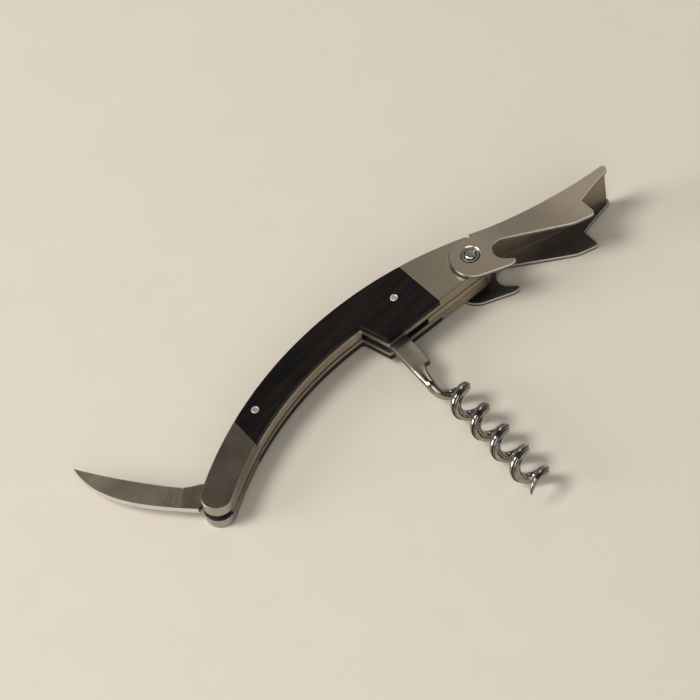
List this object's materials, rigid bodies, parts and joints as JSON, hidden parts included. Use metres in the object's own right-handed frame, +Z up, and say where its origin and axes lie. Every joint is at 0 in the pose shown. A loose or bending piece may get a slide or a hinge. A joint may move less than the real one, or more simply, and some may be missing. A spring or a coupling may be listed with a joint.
{
  "type": "folding lever corkscrew",
  "caption": "Curved two-plate handle with dark wood scales that folds out a small toothed foil blade, a right-handed worm and a hinged boot lever with a cap-lifting hook.",
  "frame": {"origin": "centre of the round knife end, on the outer face of the handle's lower bolster", "axes": "+X from the knife end to the lever's rivet, +Y towards the handle's convex back, +Z up through the handle's thickness and along every hinge"},
  "size_m": [0.1662, 0.1017, 0.017],
  "materials": {
    "satin_steel": "fine satin, warm grey",
    "polished_steel": "polished",
    "spring_steel": "ground, matte",
    "dark_wood": "smooth, close-grained, oiled"
  },
  "bodies": {
    "handle": {"upper_plate": "satin_steel", "lower_plate": "satin_steel", "upper_scale": "dark_wood", "lower_scale": "dark_wood", "double_spring": "spring_steel", "back_spacer": "spring_steel", "lever_spring": "spring_steel", "upper_scale_pin_knife": "polished_steel", "upper_scale_pin_lever": "polished_steel", "lower_scale_pin_knife": "polished_steel", "lower_scale_pin_lever": "polished_steel", "spring_rivet_1": "spring_steel", "spring_rivet_2": "spring_steel", "spacer_rivet_1": "spring_steel", "spacer_rivet_2": "spring_steel", "lever_spring_rivet_1": "spring_steel", "lever_spring_rivet_2": "spring_steel", "knife_pivot_pin": "spring_steel", "worm_pivot_pin": "spring_steel", "lever_rivet": "polished_steel", "upper_washer": "satin_steel", "lower_washer": "satin_steel"},
    "knife": {"knife_blade": "satin_steel"},
    "screw": {"worm": "polished_steel"},
    "lever": {"boot_lever": "satin_steel"}
  },
  "joints": [
    {"name": "knife_hinge", "type": "hinge", "parent": "handle", "child": "knife", "pos_m": [0.0026, 0.0015, 0.00505], "axis": [0, 0, 1], "range_deg": [-105, 75]},
    {"name": "worm_hinge", "type": "hinge", "parent": "handle", "child": "screw", "pos_m": [0.0702, 0.0043, 0.00505], "axis": [0, 0, 1], "range_deg": [-70.5, 0]},
    {"name": "lever_hinge", "type": "hinge", "parent": "handle", "child": "lever", "pos_m": [0.10096, 0, 0.00505], "axis": [0, 0, 1], "range_deg": [-115, 0]}
  ]
}
